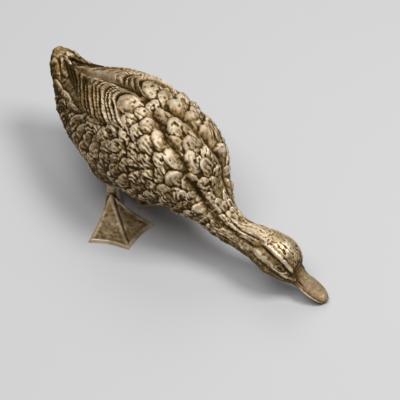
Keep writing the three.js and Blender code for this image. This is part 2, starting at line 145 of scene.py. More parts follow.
@dataclass(frozen=True)
class Ridge:
    """A round ridge along a line: its height, below 0 for a groove, its width and how far off it lies."""

    height: float
    width: float
    offset: float = 0.0

    def at(self, distance: Array) -> Array:
        """Heights at distances from the line."""
        return self.height * bell(distance - self.offset, self.width)


def grain(points: Array, pitch: float, seed: Seed) -> Array:
    """Soft random lumps in space.

    Args:
        points: Places with a last axis of three.
        pitch: Distance between lumps, in the unit of the places.
        seed: Picks the pattern.

    Returns:
        Values between -1 and 1.
    """
    scaled = points / pitch
    cell = np.floor(scaled).astype(np.int64)
    part = scaled - cell
    part = part * part * (3.0 - 2.0 * part)
    total = np.zeros(points.shape[:-1])
    for corner in np.ndindex(2, 2, 2):
        key = cell + np.array(corner)
        mixed = key[..., 0] * 374761393 + key[..., 1] * 668265263 + key[..., 2] * 1274126177 + seed * 974711
        mixed = (mixed ^ (mixed >> 13)) * 1103515245
        value = ((mixed ^ (mixed >> 16)) & 0xFFFF) / 32767.5 - 1.0
        weight = np.prod(np.where(np.array(corner) == 1, part, 1.0 - part), axis=-1)
        total = total + weight * value
    return total


def flat_grain(first: Array, second: Array, pitch: float, seed: Seed) -> Array:
    """Soft random lumps over two coordinates, between -1 and 1."""
    return grain(np.stack([first, second, 0 * first], axis=-1), pitch, seed)


@dataclass
class Skin:
    """The bare duck as a smooth skin over its stations, in millimetres before it is set on its base."""

    stations: dict[str, Station] = field(default_factory=lambda: STATIONS)
    samples: int = 4000
    nudge: float = 0.02

    def place(self, name: str) -> float:
        """Number of a station along the spine."""
        return float(list(self.stations).index(name))

    def place_at_x(self, x: Array | float) -> Array:
        """Station numbers, with fractions, at which the spine has reached distances along the duck."""
        numbers = np.linspace(0.0, len(self.stations) - 1.0, self.samples)
        return np.interp(x, self.spine_x(numbers), numbers)

    def spine_x(self, place: Array) -> Array:
        """Distance along the duck of the spine at station numbers."""
        return self._curve(np.ravel(place))[0][:, 0].reshape(np.shape(place))

    def _curve(self, place: Array) -> tuple[Array, Array]:
        """Centre and sizes, with their slopes, at station numbers.

        Args:
            place: Station numbers, in one dimension.

        Returns:
            The six values of a station at each place, and how fast they change.
        """
        rows = np.array([[s.x, s.y, s.z, s.half, s.rise, s.drop] for s in self.stations.values()])
        rows = np.vstack([2 * rows[0] - rows[1], rows, 2 * rows[-1] - rows[-2]])
        first = np.clip(np.floor(place).astype(int), 0, len(rows) - 4)
        t = (place - first)[:, None]
        a, b, c, d = (rows[first + k] for k in range(4))
        square, cube = 2 * a - 5 * b + 4 * c - d, 3 * b - a - 3 * c + d
        value = 0.5 * (2 * b + (c - a) * t + square * t**2 + cube * t**3)
        return value, 0.5 * ((c - a) + 2 * square * t + 3 * cube * t**2)

    def point(self, place: Array, angle: Array, offset: Array | float = 0.0) -> Array:
        """Points of the skin.

        Args:
            place: Station numbers.
            angle: Degrees from the duck's left over its back.
            offset: How far out of the skin, in millimetres.

        Returns:
            Points in millimetres, with a last axis of three.
        """
        place, angle, offset = np.broadcast_arrays(place, angle, offset)
        value, slope = self._curve(np.asarray(place, float).ravel())
        ahead = slope[:, :3] / np.linalg.norm(slope[:, :3], axis=1)[:, None]
        side = np.stack([-ahead[:, 1], ahead[:, 0], np.zeros(len(ahead))], axis=1)
        side /= np.linalg.norm(side, axis=1)[:, None]
        up = np.cross(ahead, side)
        turn = np.radians(angle.ravel())
        tall = np.where(np.sin(turn) > 0, value[:, 4], value[:, 5]) + offset.ravel()
        wide = value[:, 3] + offset.ravel()
        found = value[:, :3] + side * (wide * np.cos(turn))[:, None] + up * (tall * np.sin(turn))[:, None]
        return found.reshape(place.shape + (3,))

    def normal(self, place: Array, angle: Array) -> Array:
        """Outward directions of the skin.

        Args:
            place: Station numbers.
            angle: Degrees from the duck's left over its back.

        Returns:
            Unit vectors.
        """
        low = np.maximum(np.asarray(place, float) - self.nudge, 0.0)
        high = np.minimum(low + 2 * self.nudge, len(self.stations) - 1.0)
        ahead = self.point(high, angle) - self.point(low, angle)
        around = self.point(place, np.asarray(angle) + 1.0) - self.point(place, np.asarray(angle) - 1.0)
        out = np.cross(around, ahead)
        return out / np.linalg.norm(out, axis=-1)[..., None]


SKIN = Skin()
JOINT = SKIN.place("neck_joint")
JOINT_OVERLAP = 0.3
JOINT_FADE = 0.25
JOINT_SINK = 2.0


class SkinGrid:
    """Rings of places on the skin: points, outward directions, x along the duck, degrees above its side."""

    def __init__(self, places: Array, angles: Array) -> None:
        """Lay the rings.

        Args:
            places: Station numbers of the rings.
            angles: Degrees of a ring's points from the duck's left over its back.
        """
        self.place, self.angle = np.meshgrid(places, angles, indexing="ij")
        self.bare, self.out = SKIN.point(self.place, self.angle), SKIN.normal(self.place, self.angle)
        self.x = SKIN.spine_x(self.place)
        self.steep = 90.0 - np.abs((self.angle - 90.0 + 180.0) % 360.0 - 180.0)

    def raised(self, height: Array) -> Array:
        """Points at heights over the skin."""
        return self.bare + self.out * height[..., None]


@dataclass(frozen=True)
class WingPlan:
    """Outline of a folded wing on the skin, in millimetres and degrees."""

    front_x: float = -16.0
    tip_x: float = -69.0
    middle_front: float = 60.0
    middle_rear: float = 73.0
    half_chord: float = 27.0
    taper: float = 0.3
    tip_rounding: float = 0.55
    lower_front: float = -0.3
    lower_fall: float = 1.12
    slant: float = 16.0
    curl: float = 34.0
    curl_from: float = 0.3
    degrees_each_mm: float = 2.6

    def locate(self, along: Array, lane: Array) -> tuple[Array, Array]:
        """Place on the skin of a point of the wing.

        Args:
            along: Share of the way from the front to the tip.
            lane: 0 at the lower edge and 1 at the upper.

        Returns:
            Distance along the duck and degrees above its side.
        """
        breadth = 1.0 - self.taper * along**2 - self.tip_rounding * along**8
        lowest = np.maximum(self.lower_front - self.lower_fall * along, -1.0)
        across = lowest + (1.0 - lowest) * lane
        curl = self.curl * (1.0 - along) * np.clip(across - self.curl_from, 0.0, None) ** 2
        x = self.front_x + (self.tip_x - self.front_x) * along - (self.slant * across - curl) * breadth
        middle = self.middle_front + (self.middle_rear - self.middle_front) * along**2
        return x, middle + across * self.half_chord * breadth

    def covers(self, x: float, steep: float) -> bool:
        """Whether a place on the skin lies under the wing.

        Args:
            x: Its distance along the duck.
            steep: Its degrees above the duck's side.

        Returns:
            True also within about a millimetre of the wing.
        """
        along, lane = np.meshgrid(np.linspace(0.04, 1.0, 60), np.linspace(0.03, 0.97, 40))
        wing_x, wing_steep = self.locate(along, lane)
        return bool(np.min(np.hypot(wing_x - x, (wing_steep - steep) / self.degrees_each_mm)) < 1.0)


WING = WingPlan()


@dataclass(frozen=True)
class FeatherKind:
    """One sort of body feather: its size and height in millimetres, its barbs' depth and its unrest."""

    length: float
    width: float
    lift: float
    barbs: float
    unrest: float
    rough: float = 0.10


SHOULDER_BIG = FeatherKind(13.0, 10.0, 2.6, 0.05, 0.1, 0.32)
SHOULDER = FeatherKind(11.0, 8.6, 2.1, 0.15, 0.5, 0.26)
FLANK = FeatherKind(10.6, 8.4, 1.9, 0.24, 0.8, 0.34)
THIGH = FeatherKind(11.0, 9.0, 2.3, 0.10, 0.5, 0.20)
FILLING = FeatherKind(7.4, 5.0, 1.7, 0.24, 1.0, 0.34)
MANTLE = FeatherKind(10.0, 8.0, 1.9, 0.18, 0.7, 0.38)
BREAST = FeatherKind(8.2, 6.0, 1.3, 0.16, 0.9, 0.18)
TUFT = FeatherKind(6.4, 4.4, 0.7, 0.06, 1.0, 0.08)
REAR = FeatherKind(9.4, 7.0, 1.4, 0.16, 0.7, 0.22)
BELLY = FeatherKind(8.6, 6.6, 1.2, 0.12, 0.7, 0.18)
UNDER_TAIL = FeatherKind(15.0, 3.8, 0.9, 0.05, 0.5)


@dataclass(frozen=True)
class FeatherRow:
    """A row of the main feathers: its degrees where it crosses x = 0, its first feather and its count."""

    kind: FeatherKind
    steep: float
    front: float
    count: int
    droop_front: float
    droop_rear: float


FEATHER_ROWS = (
    FeatherRow(SHOULDER, 66.0, 14.0, 6, -4.0, 4.0),
    FeatherRow(SHOULDER, 52.0, 12.0, 5, -8.0, 8.0),
    FeatherRow(FLANK, 38.0, 15.0, 6, -20.0, 4.0),
    FeatherRow(FLANK, 24.0, 12.0, 6, -24.0, 14.0),
    FeatherRow(FLANK, 11.0, 15.0, 8, -24.0, 20.0),
    FeatherRow(THIGH, -2.0, 10.0, 9, -16.0, 24.0),
    FeatherRow(THIGH, -16.0, 7.0, 8, -10.0, 20.0),
)


@dataclass(frozen=True)
class Feather:
    """One feather on the skin: its middle, directions, half sizes, height and the height of its root."""

    kind: FeatherKind
    centre: Array
    flow: Array
    out: Array
    half: Array
    lift: float
    root: float
    groove_pitch: float = 2.0

    def form(self, points: Array, chasing: Array, number: int) -> tuple[Array, Array, Array]:
        """Shape of the feather.

        Args:
            points: Places on the skin in millimetres, one row each.
            chasing: Pits, holes and sway of the barbs at those places.
            number: Its number, by which its edge and barbs differ from the others'.

        Returns:
            Rows of the places that it covers, its heights there and how far across its barbs they lie.
        """
        long, wide = self.half
        near = np.flatnonzero(np.abs(points[:, 0] - self.centre[0]) < 1.1 * long + wide)
        apart = points[near] - self.centre
        u, v = apart @ self.flow / long, apart @ np.cross(self.out, self.flow) / wide
        ragged = 0.07 * np.sin(5.0 * np.arctan2(v, u + 1.0) + 2.3 * number)
        ragged += 0.5 * self.kind.rough * chasing[0, near]
        reach = np.hypot(np.clip(u, 0.0, None), v) * (1.0 + ragged)
        inside = (reach < 1.0) & (u > -1.0) & (np.abs(apart @ self.out) < self.half.max())
        near, u, v, reach = near[inside], u[inside], v[inside], reach[inside]
        pits, holes, sway = chasing[:, near]
        fan = v * wide / (0.95 + 0.2 * u) + 0.3 * u * long * math.sin(1.9 * number)
        fan = fan + sway * self.kind.unrest
        rise = self.lift * (0.15 + 0.85 * ease(-1.0, 0.6, u)) * np.sqrt(1.0 - 0.55 * v**2)
        grooves = np.cos(2.0 * math.pi * fan / self.groove_pitch + number) * ease(-0.7, 0.0, u)
        rise += self.kind.barbs * grooves * (0.7 + 1.3 * pits) + self.kind.rough * (pits - 1.3 * holes)
        here = rise * ease(-1.0, -0.75, u) + self.root * ease(-1.0, -0.5, u)
        return near, here * ease(1.0, 0.74, reach), fan


@dataclass
class Plumage:
    """All the body's feathers: main rows that climb towards the tail, with smaller ones between them."""

    seed: int = 11
    pitch: float = 6.0
    climb: float = 0.65
    shift: float = 1.3
    turn: float = 3.5
    lean: float = 24.0
    growth: float = 0.2
    raising: float = 0.35
    mantle_front: float = 20.0
    mantle_count: int = 6
    mantle_fork: float = 4.0
    filling_above: float = 7.0
    overlap: float = 0.72
    feathers: list[Feather] = field(default_factory=list)

    def __post_init__(self) -> None:
        """Start the seeded dice."""
        self.dice = random.Random(self.seed)

    def throw(self, most: float, kind: FeatherKind) -> float:
        """Random amount either way, less for a calm sort of feather."""
        return self.dice.uniform(-most, most) * kind.unrest

    def lay(self, kind: FeatherKind, x: float, angle: float, droop: float = 0.0, root: float = 0.0) -> None:
        """Put down one feather.

        Args:
            kind: Its sort.
            x: Distance along the duck.
            angle: Degrees from the duck's left over its back.
            droop: Degrees by which its tip turns from straight back towards the belly.
            root: Height of its root over the skin.
        """
        x = x + self.throw(self.shift, kind)
        place = SKIN.place_at_x(x)
        angle = np.float64(angle + self.throw(self.turn, kind))
        centre, out = SKIN.point(place, angle), SKIN.normal(place, angle)
        back = SKIN.point(SKIN.place_at_x(x - 0.5), angle) - centre
        back = back - out * np.dot(back, out)
        back /= np.linalg.norm(back)
        down = np.cross(out, back)
        down = -down if down[2] > 0 else down
        lean = math.radians(droop + self.throw(self.lean, kind))
        flow = back * math.cos(lean) + down * math.sin(lean)
        half = 0.5 * np.array([kind.length, kind.width]) * (1.0 + self.throw(self.growth, kind))
        lift = kind.lift * (1.0 + self.throw(self.raising, kind))
        self.feathers.append(Feather(kind, centre, flow, out, half, lift, root))

    def mantle(self) -> None:
        """Put down the row along the middle of the back, with one beside it towards the neck."""
        for number in range(self.mantle_count):
            x = self.mantle_front - number * self.pitch
            if x > self.mantle_fork:
                for side in Side:
                    self.lay(MANTLE, x - 0.5 * self.pitch, side.turned(76.0), 6.0)
            self.lay(MANTLE, x, 90.0)

    def main_rows(self) -> None:
        """Put down the main rows on both sides, with a smaller feather after each on the flanks."""
        for side in Side:
            for row in FEATHER_ROWS:
                for number in range(row.count):
                    x = row.front - number * self.pitch
                    share = number / (row.count - 1)
                    droop = row.droop_front + (row.droop_rear - row.droop_front) * share
                    self.lay(row.kind, x, side.turned(row.steep - self.climb * x), droop)
                    x = x - 0.5 * self.pitch
                    steep = row.steep - self.climb * x + self.filling_above
                    if row.kind is FLANK and not WING.covers(x - 2.0, steep):
                        self.lay(FILLING, x, side.turned(steep), droop)

    def patch(self, kind: FeatherKind, reach: Span, steep: Span, droop: float = 0.0) -> None:
        """Put down staggered rows of one sort on both sides.

        Args:
            kind: Sort of feather.
            reach: Frontmost and rearmost row, along the duck.
            steep: Lowest and highest feather of a row, in degrees above the duck's side.
            droop: Degrees by which the tips turn towards the belly.
        """
        spacing = 0.5 * kind.length
        count = max(int(round((reach[0] - reach[1]) / spacing)), 1)
        for side in Side:
            for row in range(count + 1):
                x = reach[0] - row * spacing
                sweep = SKIN.point(np.full(13, SKIN.place_at_x(x)), np.linspace(*steep, 13))
                arc = np.linalg.norm(np.diff(sweep, axis=0), axis=1).sum()
                number = max(int(round(arc / (self.overlap * kind.width))), 1)
                for k in range(number):
                    height = steep[0] + (steep[1] - steep[0]) * (k + 0.25 + 0.5 * (row % 2)) / number
                    if not WING.covers(x, height):
                        self.lay(kind, x, side.turned(height), droop)

    def relief(self, points: Array) -> tuple[Array, Array]:
        """Height of the plumage over the skin.

        Args:
            points: Places on the skin in millimetres, one row each.

        Returns:
            Heights in millimetres, and for each place how far across its feather's barbs it lies.
        """
        height, barb = np.zeros(len(points)), np.zeros(len(points))
        pits = 0.7 * grain(points, 1.8, Seed.PITS) + 0.45 * grain(points, 0.95, Seed.FINE_PITS)
        pits += 0.6 * grain(points, 3.0, Seed.BROAD_PITS)
        holes = ease(0.22, 0.45, grain(points, 1.6, Seed.HOLES))
        chasing = np.stack([pits, holes, 1.5 * grain(points, 2.4, Seed.BARB_SWAY)])
        for number, feather in enumerate(self.feathers):
            near, here, fan = feather.form(points, chasing, number)
            higher = here > height[near]
            height[near[higher]] = here[higher]
            barb[near[higher]] = fan[higher] + 10.0 * number
        return height, barb


def base_shift() -> Array:
    """Find how far the CAD part was moved to stand with its origin in the middle of its base.

    Returns:
        The move in millimetres.
    """
    low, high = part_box("right_leg_nut")
    middle = (np.array(low) + np.array(high)) / 2 / MM
    return np.array([middle[0] - RIGHT_THIGH[0], middle[1] - RIGHT_THIGH[1], 0.0])


SHIFT = base_shift()


def wrapped(rings: Array) -> Mesh:
    """Wrap a flat grid round a row of rings and close both ends.

    Args:
        rings: Points in millimetres before the duck is set on its base: rings, points of a ring, three.

    Returns:
        A closed mesh whose vertices follow the rings, ring by ring.
    """
    count, sides = rings.shape[:2]
    mesh = bmesh.new()
    bmesh.ops.create_grid(mesh, x_segments=sides, y_segments=count - 1, size=1.0)
    mesh.verts.ensure_lookup_table()
    places = np.concatenate([rings, rings[:, :1]], axis=1).reshape(-1, 3)
    for vert, place in zip(mesh.verts, places):
        vert.co = place
    seam = {mesh.verts[r * (sides + 1) + sides]: mesh.verts[r * (sides + 1)] for r in range(count)}
    bmesh.ops.weld_verts(mesh, targetmap=seam)
    ends = [edge for edge in mesh.edges if edge.is_boundary]
    bmesh.ops.holes_fill(mesh, edges=ends, sides=0)
    bmesh.ops.recalc_face_normals(mesh, faces=mesh.faces)
    return mesh


class Softener:
    """Evens out values over a mesh, as warmth spreads, equally far whatever the size of its faces."""

    pull = 0.006
    most_pull = 0.8
    least_length = 0.12

    def __init__(self, points: Array, edges: Array) -> None:
        """Weigh each edge by its length.

        Args:
            points: The mesh's vertices in millimetres.
            edges: Pairs of neighbours.
        """
        self.ends = np.concatenate([edges[:, 0], edges[:, 1]])
        self.others = np.concatenate([edges[:, 1], edges[:, 0]])
        length = np.linalg.norm(points[self.ends] - points[self.others], axis=1)
        self.weight = 1.0 / np.maximum(length, self.least_length) ** 2
        self.total = np.maximum(self.sums(np.ones(len(points))), 1e-6)
        self.rate = np.minimum(self.pull, self.most_pull / self.total)

    def sums(self, values: Array) -> Array:
        """Weighed sums of the neighbours' values."""
        return np.bincount(self.ends, self.weight * values[self.others], len(values))

    def spread(self, values: Array, radius: float) -> Array:
        """Even out columns of values.

        Args:
            values: One row for each vertex.
            radius: How far they spread, in millimetres.

        Returns:
            The evened values.
        """
        for _ in range(round(radius**2 / (2.0 * self.pull))):
            sums = np.stack([self.sums(column) for column in values.T], axis=1)
            values = values + self.rate[:, None] * (sums - self.total[:, None] * values)
        return values


# Distances over which wear and the painted top light are judged, in millimetres.
CLOSE_BY = 0.55
FURTHER_OFF = 1.3
FACING_REACH = 0.7


def wear_and_top_light_marks(data: bpy.types.Mesh) -> dict[str, Array]:
    """Work out the wear of a mesh, and where painted light and shade fall on it.

    Args:
        data: Mesh in metres.

    Returns:
        For each vertex, how far it stands out of what is close by as hollow and of what is further off as
        swell, in millimetres, and how openly it faces up, less at the rear: partly rubbing of the upper
        parts, partly painted light on the top and painted shade underneath and at the rear.
    """
    points, normals = np.empty((2, len(data.vertices), 3))
    edges = np.empty((len(data.edges), 2), np.int32)
    data.vertices.foreach_get("co", points.ravel())
    data.vertex_normals.foreach_get("vector", normals.ravel())
    data.edges.foreach_get("vertices", edges.ravel())
    points /= MM
    softener = Softener(points, edges)
    near = softener.spread(points, CLOSE_BY)
    wide = softener.spread(near, FURTHER_OFF)
    # Painted light: places that face up are paler. Towards the rear, places that face sideways or down get
    # painted shade.
    facing = softener.spread(normals, FACING_REACH)[:, 2]
    rear = ease(-22.0, -56.0, points[:, 0] - SHIFT[0]) * ease(0.95, 0.55, facing)
    return {
        "hollow": np.sum((points - near) * normals, axis=1),
        "swell": np.sum((points - wide) * normals, axis=1),
        "rub_and_top_light": facing - 0.35 - 0.85 * rear,
    }


def finished_piece(name: str, mesh: Mesh, material: Material, node: str, marks: dict[str, Array]) -> None:
    """Turn a mesh in millimetres into a piece of the part.

    Args:
        name: Name of the piece.
        mesh: Its shape before it is set on its base. It is freed.
        material: Its finish.
        node: CAD node that it stands for.
        marks: Attributes for the finish beside its wear and painted top light, one value for each vertex or
            one for all.
    """
    data = bpy.data.meshes.new(name)
    bmesh.ops.translate(mesh, verts=mesh.verts, vec=SHIFT)
    bmesh.ops.scale(mesh, verts=mesh.verts, vec=(MM, MM, MM))
    mesh.to_mesh(data)
    mesh.free()
    for label, values in {**wear_and_top_light_marks(data), **marks}.items():
        attribute = data.attributes.new(label, "FLOAT", "POINT")
        attribute.data.foreach_set("value", np.resize(values, len(data.vertices)).astype(np.float32))
    data.polygons.foreach_set("use_smooth", np.ones(len(data.polygons), bool))
    data.materials.append(material)
    piece = bpy.data.objects.new(name, data)
    bpy.context.scene.collection.objects.link(piece)
    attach(piece, "root")
    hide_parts(node)
    LOG.info("%s: %d faces", name, len(data.polygons))


class NodeChain:
    """Small helper that adds shader nodes to one material."""

    def __init__(self, name: str) -> None:
        """Start a material without nodes.

        Args:
            name: Name of the material.
        """
        self.material = bpy.data.materials.new(name)
        self.material.use_nodes = True
        self.tree = self.material.node_tree
        self.tree.nodes.clear()

    def add(self, kind: str, inputs: dict | None = None, **settings: object) -> bpy.types.Node:
        """Add a node.

        Args:
            kind: Blender's name of the node.
            inputs: Values or sockets by input name or number.
            settings: Properties of the node.

        Returns:
            The node.
        """
        node = self.tree.nodes.new(kind)
        for name, value in settings.items():
            setattr(node, name, value)
        for name, value in (inputs or {}).items():
            if isinstance(value, Socket):
                self.tree.links.new(value, node.inputs[name])
            else:
                node.inputs[name].default_value = value
        return node

    def attribute(self, name: str) -> Socket:
        """Read one of the mesh's attributes."""
        return self.add("ShaderNodeAttribute", attribute_name=name).outputs["Fac"]

    def noise(self, where: Socket, per_metre: float, detail: float) -> Socket:
        """Add cloudy noise."""
        inputs = {"Vector": where, "Scale": per_metre, "Detail": detail}
        return self.add("ShaderNodeTexNoise", inputs).outputs[0]

    def math(self, operation: str, *values: object) -> Socket:
        """Add a sum of numbers or sockets, by Blender's name of it."""
        return self.add("ShaderNodeMath", dict(enumerate(values)), operation=operation).outputs[0]

    def spread(self, value: object, low: float, high: float) -> Socket:
        """Ease a value from 0 at low to 1 at high."""
        inputs = {"Value": value, "From Min": low, "From Max": high}
        return self.add("ShaderNodeMapRange", inputs, interpolation_type="SMOOTHSTEP").outputs[0]

    def mix(self, share: object, first: object, second: object) -> Socket:
        """Mix two colours."""
        return self.add("ShaderNodeMix", {0: share, 6: first, 7: second}, data_type="RGBA").outputs[2]

    def finish(self, inputs: dict) -> Material:
        """Add the surface.

        Args:
            inputs: Values or sockets of the surface, by name.

        Returns:
            The finished material.
        """
        shader = self.add("ShaderNodeBsdfPrincipled", inputs)
        self.add("ShaderNodeOutputMaterial", {"Surface": shader.outputs[0]})
        return self.material


@dataclass(frozen=True)
class Bronze:
    """Old bronze: pale where hands have rubbed it, brown where the patina stays in the hollows, with
    painted light: paler where it faces up, and painted shade where it faces down and at the rear.
    """

    name: str
    rubbed: Colour = (0.96, 0.81, 0.60, 1.0)
    plain: Colour = (0.350, 0.222, 0.083, 1.0)
    patina: Colour = (0.058, 0.032, 0.007, 1.0)
    coppery: Colour = (0.40, 0.215, 0.105, 1.0)
    copper: float = 0.55
    depth: float = 0.16
    unevenness: float = 2.8
    calming: float = 0.7
    swell: float = 0.42
    # Painted light: the next share makes places that face up paler, and those that face down or lie at the
    # rear darker, besides rubbing. The one after it adds painted highlights, painted light in shaded clefts
    # and darker places, besides wear.
    rub_and_top_light: float = 0.2
    wear_and_painted_light: float = 0.10
    metal: float = 0.73
    roughness: float = 0.56
    specular: float = 0.25
    barbs: float = 0.0
    barb_pitch: float = 0.525
    stipple: float = 0.25
    bump: float = 0.55
    bump_height: float = 0.0003

    def material(self) -> Material:
        """Build the shader.

        Returns:
            The material.
        """
        chain = NodeChain(self.name)
        where = chain.add("ShaderNodeTexCoord").outputs["Object"]
        speck = chain.noise(where, 900.0, 4.0)
        cloud = chain.noise(where, 110.0, 5.0)

        spread = self.depth * self.unevenness
        uneven = chain.math("MULTIPLY_ADD", speck, spread, -0.5 * spread)
        lively = chain.math("MULTIPLY_ADD", chain.attribute("calm"), -self.calming, 1.0)
        level = chain.math("MULTIPLY_ADD", uneven, lively, chain.attribute("hollow"))
        # Besides the hollows and swells, the level takes the painted top light and shade and the painted
        # highlights of the marks.
        for label, share in (("swell", self.swell), ("rub_and_top_light", self.rub_and_top_light), ("wear_and_painted_light", self.wear_and_painted_light)):
            level = chain.math("MULTIPLY_ADD", chain.attribute(label), share, level)
        clear_of_patina_and_shade = chain.spread(level, -self.depth * 0.95, self.depth * 0.8)
        rubbed_and_lit = chain.spread(level, self.depth * 0.12, self.depth * 1.8)
        rubbed_and_lit = chain.math("MULTIPLY", rubbed_and_lit, chain.spread(cloud, 0.2, 0.62))
        colour = chain.mix(clear_of_patina_and_shade, self.patina, self.plain)
        colour = chain.mix(rubbed_and_lit, colour, self.rubbed)
        copper = chain.math("MULTIPLY", chain.attribute("copper"), chain.spread(cloud, 0.35, 0.7))
        colour = chain.mix(chain.math("MULTIPLY", copper, self.copper), colour, self.coppery)

        fine = chain.noise(where, 2600.0, 3.0)
        relief = chain.math("MULTIPLY", chain.math("ADD", fine, speck), self.stipple)
        turns = chain.math("MULTIPLY", chain.attribute("barb"), 2.0 * math.pi / self.barb_pitch)
        relief = chain.math("MULTIPLY_ADD", chain.math("SINE", turns), self.barbs, relief)
        inputs = {"Strength": self.bump, "Distance": self.bump_height, "Height": relief}
        rough = chain.math("MULTIPLY_ADD", rubbed_and_lit, -0.08, self.roughness)
        return chain.finish({
            "Base Color": colour,
            "Metallic": chain.math("MULTIPLY_ADD", rubbed_and_lit, 0.22, self.metal),
            "Roughness": chain.math("MULTIPLY_ADD", speck, 0.12, rough),
            "Specular IOR Level": self.specular,
            "Normal": chain.add("ShaderNodeBump", inputs).outputs[0],
        })


@dataclass(frozen=True)
class Ground:
    """What lies under all feathers: valleys beside the mantle, streaks on the neck and uneven metal.

    The lines run along the duck. The valley's has degrees from the back's middle: 0 where there is one
    valley, more where it has parted towards the neck. The furrow's has degrees above the duck's side.
    """

    valley: Ridge = Ridge(-1.2, 2.2)
    valley_line: Line = (
        (-12.0, 0.0), (-5.0, 9.0), (2.0, 18.0), (10.0, 24.0), (13.0, 32.0), (20.0, 36.0),
        (24.0, 35.0), (30.0, 52.0), (41.0, 56.0), (49.0, 59.0), (53.0, 53.0), (57.0, 55.0),
    )
    valley_share: Line = ((20.0, 1.0), (34.0, 0.62))
    girth_line: Line = ((-70.0, 6.0), (-30.0, 20.0), (-10.0, 22.0), (7.0, 18.0), (26.0, 8.4), (80.0, 7.5))
    neck_girth: float = 8.5
    streak_share: Line = ((16.0, 0.0), (30.0, 1.0), (46.0, 1.0), (54.0, 0.15), (66.0, 0.0))
    furrow: Ridge = Ridge(-0.5, 0.7)
    furrow_line: Line = ((17.0, 74.0), (27.0, 72.0), (35.0, 66.0), (45.0, 58.0), (51.0, 58.0))

    def cover(self, grid: SkinGrid, coat: Plumage) -> tuple[Array, Array]:
        """Height of the ground with the plumage on it.

        Args:
            grid: Places on the skin.
            coat: The plumage.

        Returns:
            Heights in millimetres, and how far across their feather's barbs the places lie.
        """
        x, bare = grid.x, grid.bare
        turned = np.radians(90.0 - grid.steep - line_at(self.valley_line, x))
        off_valley = turned * line_at(self.girth_line, x) + 0.8 * grain(bare, 4.0, Seed.VALLEY_SWAY)
        valley = bell(off_valley, self.valley.width) * ease(-42.0, -30.0, x) * ease(60.0, 54.0, x)
        ground = 0.10 * grain(bare, 1.5, Seed.GROUND) + 0.06 * grain(bare, 0.8, Seed.FINE_GROUND)
        ground += self.valley.height * line_at(self.valley_share, x) * valley
        arc = np.radians(grid.angle) * self.neck_girth
        streaks = 0.17 * flat_grain(x / 3.2, arc / 0.9, 1.0, Seed.LONG_STREAKS)
        streaks += 0.12 * flat_grain(x / 1.4, arc / 0.5, 1.0, Seed.SHORT_STREAKS)
        ground += line_at(self.streak_share, x) * streaks
        off_furrow = np.radians(grid.steep - line_at(self.furrow_line, x)) * self.neck_girth
        ground += self.furrow.at(off_furrow) * ease(20.0, 28.0, x) * ease(55.0, 50.0, x)
        plumes, barb = coat.relief(bare.reshape(-1, 3))
        left = 1.0 - 0.8 * valley * ease(-10.0, -2.0, x)
        return plumes.reshape(x.shape) * left + ground * ease(65.0, 58.0, x), barb


GROUND = Ground()


@dataclass
class Body:
    """Trunk and tail: the hollow casting with all its plumage."""

    material: Material
    rings: int = 300
    sides: int = 322
    belly_share: float = 0.4
    thigh: Ridge = Ridge(4.5, 6.5)
    tail_knob: Ridge = Ridge(0.6, 2.4, -74.0)
    tail_dome: float = 1.3
    dome_shares: tuple[float, ...] = (0.04, 0.3, 0.55, 0.75, 0.9)

    def plumage(self) -> Plumage:
        """Lay the feathers.

        Returns:
            The whole plumage.
        """
        coat = Plumage()
        coat.patch(BELLY, (14.0, -46.0), (-90.0, -34.0))
        coat.patch(REAR, (-20.0, -58.0), (-52.0, 22.0), 16.0)
        coat.patch(UNDER_TAIL, (-46.0, -68.0), (-85.0, 38.0), 6.0)
        coat.patch(TUFT, (36.0, 20.0), (-90.0, 84.0), -8.0)
        coat.patch(BREAST, (23.0, 14.0), (-90.0, 62.0), -6.0)
        coat.mantle()
        coat.main_rows()
        for side in Side:
            coat.lay(SHOULDER_BIG, -16.6, side.turned(74.0), 0.0, 0.9)
        return coat

    def angles(self) -> Array:
        """Place a ring's points close together above and further apart on the belly.

        Returns:
            Degrees from the duck's left over its back.
        """
        fine = np.linspace(-90.0, 270.0, 3601)
        weight = self.belly_share + (1.0 - self.belly_share) * ease(-0.8, -0.4, np.sin(np.radians(fine)))
        share = np.concatenate([[0.0], np.cumsum(0.5 * (weight[1:] + weight[:-1]))])
        return np.interp(np.arange(self.sides) / self.sides, share / share[-1], fine)

    def build(self, coat: Plumage) -> None:
        """Make the trunk.

        Args:
            coat: The plumage.
        """
        places = np.linspace(SKIN.place("tail_end"), JOINT + JOINT_OVERLAP, self.rings)
        grid = SkinGrid(places, self.angles())
        height, barb = GROUND.cover(grid, coat)
        height -= JOINT_SINK * ease(JOINT, JOINT + JOINT_FADE, grid.place)
        for x, y in (RIGHT_THIGH, LEFT_THIGH):
            apart = np.hypot(grid.bare[..., 0] - x, grid.bare[..., 1] - y)
            height += np.where(grid.out[..., 2] < 0, self.thigh.at(apart), 0.0)
        rings = grid.raised(height + self.tail_knob.at(grid.x))
        tip = rings[0].mean(axis=0)
        past = tip - rings[8].mean(axis=0)
        past = self.tail_dome * past / np.linalg.norm(past)
        dome = [tip + (rings[0] - tip) * s + past * math.sqrt(1.0 - s * s) for s in self.dome_shares]
        ends = np.zeros(len(dome) * self.sides)
        # Paler towards the breast and darker towards the tail. Painted light in the cleft between the
        # wings, which lies in shade.
        wear_and_painted_light = 0.4 * ease(0.0, 18.0, grid.x) - 0.8 * ease(-50.0, -64.0, grid.x)
        between_wings = ease(74.0, 84.0, grid.steep) * ease(-34.0, -44.0, grid.x)
        wear_and_painted_light += 1.8 * between_wings * ease(-74.0, -68.0, grid.x)
        marks = {
            "barb": np.concatenate([ends, barb]),
            "wear_and_painted_light": np.concatenate([ends - 2.0, wear_and_painted_light.ravel()]),
        }
        mesh = wrapped(np.concatenate([np.stack(dome), rings]))
        finished_piece("body_plumage", mesh, self.material, "body_casting", marks)


